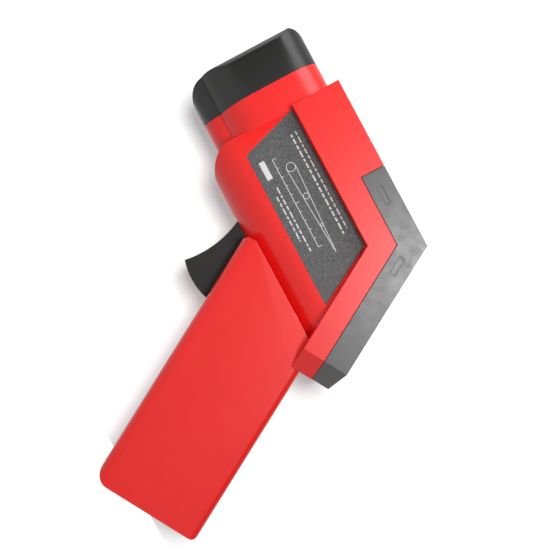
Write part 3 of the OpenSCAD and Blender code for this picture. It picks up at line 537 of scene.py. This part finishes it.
def label_marks():
    """Generic marks: dashes along the edges, a plain plate, a level scale and a widening cone of rings."""
    marks = dash_row(29.5, 28.7, 63.0, FINE_DASH, 0)
    marks += dash_row(29.9, 27.0, 64.5, BOLD_DASH, 2)
    marks += dash_row(42.0, 15.7, 64.0, FINE_DASH, 1)
    marks += dash_row(44.5, 14.3, 60.0, FINE_DASH, 3)
    marks.append(bar_outline(33.0, 14.4, 6.0, 1.8))
    scale_s, scale_z, scale_len = 34.0, 18.6, 30.0
    marks.append(line_outline((scale_s, scale_z), (scale_s + scale_len, scale_z), 0.20))
    for i in range(11):
        tall = 1.2 if i % 5 == 0 else 0.7
        at = scale_s + scale_len * i / 10
        marks.append(line_outline((at, scale_z), (at, scale_z + tall), 0.18))
    tip = (68.5, 22.6)
    for sign in (-1, 1):
        marks.append(line_outline(tip, (tip[0] - 30.0, tip[1] + sign * 1.5), 0.19))
    for back in (10, 20, 30):
        marks += ring_outlines((tip[0] - back, tip[1]), 0.050 * back, 0.18)
    return marks


def add_label_print(side, label, material):
    """The print of one label; side is 1 on the left and -1 on the right."""
    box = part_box(label)
    face = (box[1].x if side > 0 else box[0].x) / MM
    bm = bmesh.new()
    for outline in label_marks():
        add_prism(bm, outline, INK, lambda s, z, w: at_barrel(face + side * (w - 0.005), s, z))
    return new_piece(label + "_print", bm, material, "housing")


# ---------------------------------------------------------------- display
SEGMENTS = {                  # a seven-segment digit: which bars are on, in the order of segment_outlines
    "2": (1, 1, 0, 1, 1, 0, 1), "4": (0, 1, 1, 0, 0, 1, 1), "6": (1, 0, 1, 1, 1, 1, 1),
}
PANEL_MID_T = -15.19          # height of the window's middle along the grip, mm


def segment_outlines(left, low, width, height, stroke):
    """The seven bars of a digit: top, upper right, upper left, bottom, lower left, lower right, middle."""
    gap = stroke * 0.3
    half = height / 2

    def level(v):
        return [(left + gap + stroke / 2, v - stroke / 2), (left + width - gap - stroke / 2, v - stroke / 2),
                (left + width - gap, v), (left + width - gap - stroke / 2, v + stroke / 2),
                (left + gap + stroke / 2, v + stroke / 2), (left + gap, v)]

    def upright(u, v):
        return [(u - stroke / 2, v + gap + stroke / 2), (u, v + gap), (u + stroke / 2, v + gap + stroke / 2),
                (u + stroke / 2, v + half - gap - stroke / 2), (u, v + half - gap),
                (u - stroke / 2, v + half - gap - stroke / 2)]

    right = left + width
    return [level(low + height), upright(right, low + half), upright(left, low + half), level(low),
            upright(left, low), upright(right, low), level(low + half)]


def add_display_segments(dark, faint):
    """A generic reading in dark segments, with the unlit segments left as faint ghosts."""
    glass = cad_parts["lcd_glass"].data
    front_n = max(grip_n(v.co) for v in glass.vertices)
    lit, unlit = bmesh.new(), bmesh.new()

    def place(u, v, w):
        return at_grip(-u, front_n + 0.01 + w, PANEL_MID_T + v)

    for i, digit in enumerate("246"):
        left = -9.6 + 6.7 * i + (1.0 if i == 2 else 0)
        for on, outline in zip(SEGMENTS[digit], segment_outlines(left, -4.2, 4.4, 8.6, 0.95)):
            add_prism(lit if on else unlit, outline, INK, place)
    add_prism(lit, bar_outline(3.5, -4.6, 0.9, 0.9), INK, place)
    for i in range(12):
        target = lit if i < 7 else unlit
        add_prism(target, bar_outline(-9.8 + 1.65 * i, -8.6, 1.2, 1.5), INK, place)
    for i in range(4):
        add_prism(lit if i < 3 else unlit, bar_outline(4.6 + 1.3 * i, 7.4, 0.9, 1.7), INK, place)
    new_piece("display_segments", lit, dark, "housing")
    new_piece("display_ghosts", unlit, faint, "housing")


# ---------------------------------------------------------------- keys and screws
KEY_T = -37.79                # height of the keys along the grip, mm
KEY_TOP_N = 92.011            # their tops, mm
KEY_PITCH = 10.5


def add_key_mark(name, body, x, outlines, material):
    """A small printed mark on a key's top."""
    bm = bmesh.new()
    for outline in outlines:
        add_prism(bm, outline, INK, lambda u, v, w: at_grip(x - u, KEY_TOP_N - 0.005 + w, KEY_T + v))
    new_piece(name, bm, material, body)


def add_key_marks(material):
    """Plain signs: an upward wedge, a ring and a downward wedge."""
    wedge = [(-1.3, -0.8), (1.3, -0.8), (0.0, 1.2)]
    add_key_mark("key_left_mark", "key_left", KEY_PITCH, [wedge], material)
    add_key_mark("key_centre_mark", "key_centre", 0.0, ring_outlines((0, 0), 1.5, 0.4), material)
    add_key_mark("key_right_mark", "key_right", -KEY_PITCH, [[(u, -v) for u, v in wedge[::-1]]], material)


SCREW_HEAD_T = 1.7            # mm


def cross_outline(reach, half):
    """Outline of a plus sign."""
    quarter = [(reach, -half), (reach, half), (half, half)]
    points = []
    for turn in range(4):
        c, s = ((1, 0), (0, 1), (-1, 0), (0, -1))[turn]
        points += [(u * c - v * s, u * s + v * c) for u, v in quarter]
    return points


def screw_shells():
    """The separate screws of the shell_screws node as lists of their vertices' places."""
    bm = bmesh.new()
    bm.from_mesh(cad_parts["shell_screws"].data)
    bmesh.ops.remove_doubles(bm, verts=bm.verts, dist=1e-6)
    left = set(bm.verts)
    shells = []
    while left:
        group, edge = set(), [left.pop()]
        while edge:
            vert = edge.pop()
            group.add(vert)
            near = {e.other_vert(vert) for e in vert.link_edges} - group
            edge += near
            group |= near
        left -= group
        shells.append([v.co.copy() for v in group])
    bm.free()
    return shells


def add_screw(bm, points):
    """A pan head with a cross recess, on the shank of one CAD screw; its axis runs along X."""
    low = min(p.x for p in points)
    high = max(p.x for p in points)
    head = [p for p in points if p.x < low + 1e-5]
    mid = sum((Vector((0, p.y, p.z)) for p in head), Vector()) / len(head)
    head_r = max((Vector((0, p.y, p.z)) - mid).length for p in head)
    shank_r = max((Vector((0, p.y, p.z)) - mid).length for p in points if p.x > high - 1e-5)
    head_t = SCREW_HEAD_T * MM
    steps = 40
    cross = cross_outline(0.62 * head_r, 0.13 * head_r)

    def ring(x, r, turn=0.0):
        return [bm.verts.new((x, mid.y + r * math.cos(2 * math.pi * i / steps + turn),
                              mid.z + r * math.sin(2 * math.pi * i / steps + turn))) for i in range(steps)]

    def band(a, b):
        for i in range(len(a)):
            j = (i + 1) % len(a)
            bm.faces.new((a[i], a[j], b[j], b[i]))

    profile = [(0.0, 0.80), (0.12, 0.93), (0.34, 1.0), (1.0, 1.0)]
    rings = [ring(low + t * head_t, r * head_r) for t, r in profile]
    rings.append(ring(low + head_t, shank_r))
    rings.append(ring(high - 0.4 * shank_r, shank_r))
    rings.append(ring(high, 0.6 * shank_r))
    for a, b in zip(rings, rings[1:]):
        band(a, b)
    bm.faces.new(rings[-1])
    rim = [bm.verts.new((low, mid.y + u, mid.z + v)) for u, v in cross]
    pit = [bm.verts.new((low + 0.75 * head_t, mid.y + 0.7 * u, mid.z + 0.7 * v)) for u, v in cross]
    band(rim, pit)
    bm.faces.new(pit)
    edges = [bm.edges.get((rings[0][i], rings[0][(i + 1) % steps])) for i in range(steps)]
    edges += [bm.edges.get((rim[i], rim[(i + 1) % len(rim)])) for i in range(len(rim))]
    bmesh.ops.triangle_fill(bm, edges=edges, use_beauty=True, use_dissolve=False)


def add_screws(material):
    """Cross-head screws in place of the CAD model's plain ones."""
    bm = bmesh.new()
    for points in screw_shells():
        add_screw(bm, points)
    piece = new_piece("cross_head_screws", bm, material, "housing")
    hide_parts("shell_screws")
    return piece


# ---------------------------------------------------------------- floor and light
FLOOR_HALF = 3                # half the side of the floor, m
SHEET_HALF = 0.35             # half the side of the sheet, m
SHEET_GAP = 0.0008            # from the sheet to the object's right side, m


def white_surface(name, tone, lift, near, far):
    """Pale matt surface that keeps a shadow. It is seen lifted by a glow, which is full white beyond the
    distance far (m) from the surface's middle and down to lift within near."""
    m = Shader(name)
    mottle = m.noise(30.0, 2.0)
    diffuse = m.add("ShaderNodeBsdfDiffuse", Color=m.mix(mottle, grey(tone - 0.02), grey(tone + 0.02)))
    path = m.add("ShaderNodeLightPath")
    seen = m.math("MAXIMUM", path.outputs["Is Camera Ray"],
                  m.math("MAXIMUM", path.outputs["Is Glossy Ray"], path.outputs["Is Transmission Ray"]))
    span = m.add("ShaderNodeVectorMath")
    span.operation = "LENGTH"
    m.tree.links.new(m.place, span.inputs[0])
    level = m.ramp(span.outputs["Value"], lift, 1.0, near, far)
    glow = m.add("ShaderNodeEmission", Color=grey(1.0), Strength=m.math("MULTIPLY", seen, level))
    both = m.add("ShaderNodeAddShader")
    m.tree.links.new(diffuse.outputs[0], both.inputs[0])
    m.tree.links.new(glow.outputs[0], both.inputs[1])
    clear = m.add("ShaderNodeBsdfTransparent")
    one_sided = m.add("ShaderNodeMixShader", Fac=m.add("ShaderNodeNewGeometry").outputs["Backfacing"])
    m.tree.links.new(both.outputs[0], one_sided.inputs[1])
    m.tree.links.new(clear.outputs[0], one_sided.inputs[2])
    m.tree.links.new(one_sided.outputs[0], m.out.inputs["Surface"])
    return m.material


def add_plane(name, centre, u, v, material):
    """A stage plane spanned by the half-sides u and v, facing along u x v."""
    mesh = bpy.data.meshes.new(name)
    corners = [-u - v, u - v, u + v, v - u]
    mesh.from_pydata([tuple(c) for c in corners], [], [(0, 1, 2, 3)])
    mesh.materials.append(material)
    plane = bpy.data.objects.new(name, mesh)
    plane.location = centre
    bpy.context.scene.collection.objects.link(plane)
    return plane


def add_stage():
    """Floor under the object, and the white sheet just behind its right side, as in the photograph."""
    add_plane("floor", Vector((0, 0, 0)), Vector((FLOOR_HALF, 0, 0)), Vector((0, FLOOR_HALF, 0)),
              white_surface("floor_white", 0.40, 0.93, 0.10, 0.40))
    sheet = add_plane("sheet", Vector((cad_box[0].x - SHEET_GAP, 0, MIDDLE.z)),
                      Vector((0, SHEET_HALF, 0)), Vector((0, 0, SHEET_HALF)),
                      white_surface("sheet_white", 0.35, 0.35, 0.12, 0.30))
    sheet.visible_shadow = False
    sheet.visible_diffuse = False
    sheet.visible_glossy = False
    sheet.visible_transmission = False
    return sheet


def light_group(name, sheet, state):
    """The set of objects a lamp lights: the sheet alone, or everything but the sheet."""
    group = bpy.data.collections.new(name)
    group.objects.link(sheet)
    group.collection_objects[0].light_linking.link_state = state
    return group


def add_lamp(name, offset, size, power):
    """A square soft box aimed at the middle of the object."""
    data = bpy.data.lights.new(name, "AREA")
    data.shape = "SQUARE"
    data.size = size
    data.energy = power
    lamp = bpy.data.objects.new(name, data)
    lamp.location = MIDDLE + Vector(offset)
    lamp.rotation_mode = "QUATERNION"
    lamp.rotation_quaternion = (-Vector(offset)).to_track_quat("-Z", "Y")
    bpy.context.scene.collection.objects.link(lamp)
    return lamp


def add_world(ambient, bright_side, dark_side):
    """White to the camera. Gloss sees white behind the sheet and a darker room in front; diffuse light is
    lower."""
    world = bpy.data.worlds.new("studio")
    world.use_nodes = True
    tree = world.node_tree

    def add(kind, **settings):
        node = tree.nodes.new(kind)
        for key, value in settings.items():
            setattr(node, key, value)
        return node

    background = tree.nodes["Background"]
    background.inputs["Color"].default_value = grey(1.0)
    path = add("ShaderNodeLightPath")
    axes = add("ShaderNodeSeparateXYZ")
    tree.links.new(add("ShaderNodeTexCoord").outputs["Generated"], axes.inputs[0])
    room = add("ShaderNodeMapRange", interpolation_type="SMOOTHSTEP")
    for socket, value in (("From Min", 0.0), ("From Max", 0.6),
                          ("To Min", bright_side), ("To Max", dark_side)):
        room.inputs[socket].default_value = value
    tree.links.new(axes.outputs["X"], room.inputs["Value"])
    shiny = add("ShaderNodeMath", operation="MAXIMUM")
    tree.links.new(path.outputs["Is Glossy Ray"], shiny.inputs[0])
    tree.links.new(path.outputs["Is Transmission Ray"], shiny.inputs[1])
    level = add("ShaderNodeMix")
    level.inputs[2].default_value = ambient
    tree.links.new(shiny.outputs[0], level.inputs[0])
    tree.links.new(room.outputs["Result"], level.inputs[3])
    seen = add("ShaderNodeMix")
    seen.inputs[3].default_value = 1.0
    tree.links.new(path.outputs["Is Camera Ray"], seen.inputs[0])
    tree.links.new(level.outputs[0], seen.inputs[2])
    tree.links.new(seen.outputs[0], background.inputs["Strength"])
    bpy.context.scene.world = world


def add_lights(sheet):
    """A soft box near the camera, whose sheen lies over the bend of the band, a top lamp, lamps for the other
    sides, and one that draws the thin shadow on the sheet."""
    add_world(0.10, 1.0, 0.03)
    others = light_group("all_but_sheet", sheet, "EXCLUDE")
    for name, offset, size, power in (
        ("key", (0.48, 0.08, 0.15), 0.12, 1.35),
        ("top", (0.15, -0.10, 0.22), 0.18, 0.58),
        ("far_side", (-0.42, 0.25, 0.42), 0.40, 2.2),
        ("front", (-0.05, -0.62, 0.25), 0.35, 1.2),
    ):
        add_lamp(name, offset, size, power).light_linking.receiver_collection = others
    sheet_lamp = add_lamp("sheet_lamp", (0.60, -0.02, 0.14), 0.16, 8.5)
    sheet_lamp.light_linking.receiver_collection = light_group("sheet_only", sheet, "INCLUDE")


# ---------------------------------------------------------------- build
materials = make_materials()
dress_nodes(materials)
smooth_nodes()
add_label_print(1, "left_label", materials["ink"])
add_label_print(-1, "right_label", materials["ink"])
add_display_segments(materials["segment"], materials["ghost"])
add_key_marks(materials["key_ink"])
smooth_piece(add_screws(materials["steel_bright"]))
add_lights(add_stage())
bpy.context.scene.view_settings.view_transform = "Standard"
